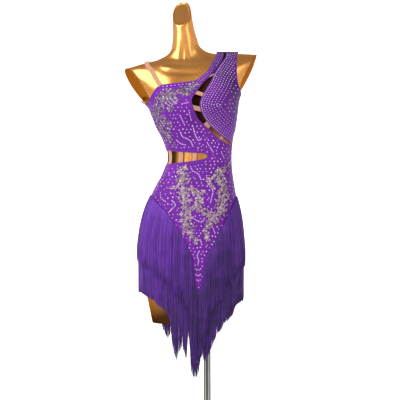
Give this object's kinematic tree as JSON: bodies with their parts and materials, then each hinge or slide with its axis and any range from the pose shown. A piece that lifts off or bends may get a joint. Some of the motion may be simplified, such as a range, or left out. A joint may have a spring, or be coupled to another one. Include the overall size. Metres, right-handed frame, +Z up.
{
  "type": "latin dance dress on a limbless dress form with a round stand",
  "caption": "One-shoulder purple latin dance dress with a keyhole, a waist cut-out and a V-shaped fringed hem, worn by a gold limbless dress form on a chrome pole and round base.",
  "frame": {"origin": "centre of the base plate's underside, on the floor", "axes": "+Z up along the pole, -Y out of the front of the dress, +X to the viewer's right as seen from the front"},
  "size_m": [0.4237, 0.34, 1.5676],
  "materials": {
    "purple_stretch_cloth": "soft sheen",
    "purple_fringe": "silky",
    "nude_elastic": "matte",
    "silver_grey_lace": "corded, slightly shiny",
    "gold_lacquer": "metallic gloss",
    "chrome": "polished"
  },
  "bodies": {
    "root": {"form": "gold_lacquer", "pole_flange": "chrome", "pole": "chrome", "base_plate": "chrome", "front_panel": "purple_stretch_cloth", "shoulder_panel": "purple_stretch_cloth", "back_panel": "purple_stretch_cloth", "lace_bust": "silver_grey_lace", "lace_hip_left": "silver_grey_lace", "lace_hip_right": "silver_grey_lace", "keyhole_bridge_1": "nude_elastic", "keyhole_bridge_2": "nude_elastic", "keyhole_bridge_3": "nude_elastic", "keyhole_bridge_4": "nude_elastic", "keyhole_bridge_5": "nude_elastic", "waist_strap_side": "nude_elastic", "waist_strap_middle": "nude_elastic", "waist_strap_inner": "nude_elastic", "waist_strap_back": "nude_elastic", "shoulder_strap": "nude_elastic", "underarm_strap": "nude_elastic", "fringe_front_long": "purple_fringe", "fringe_front_short": "purple_fringe", "fringe_back_long": "purple_fringe", "fringe_back_short": "purple_fringe"}
  },
  "joints": []
}
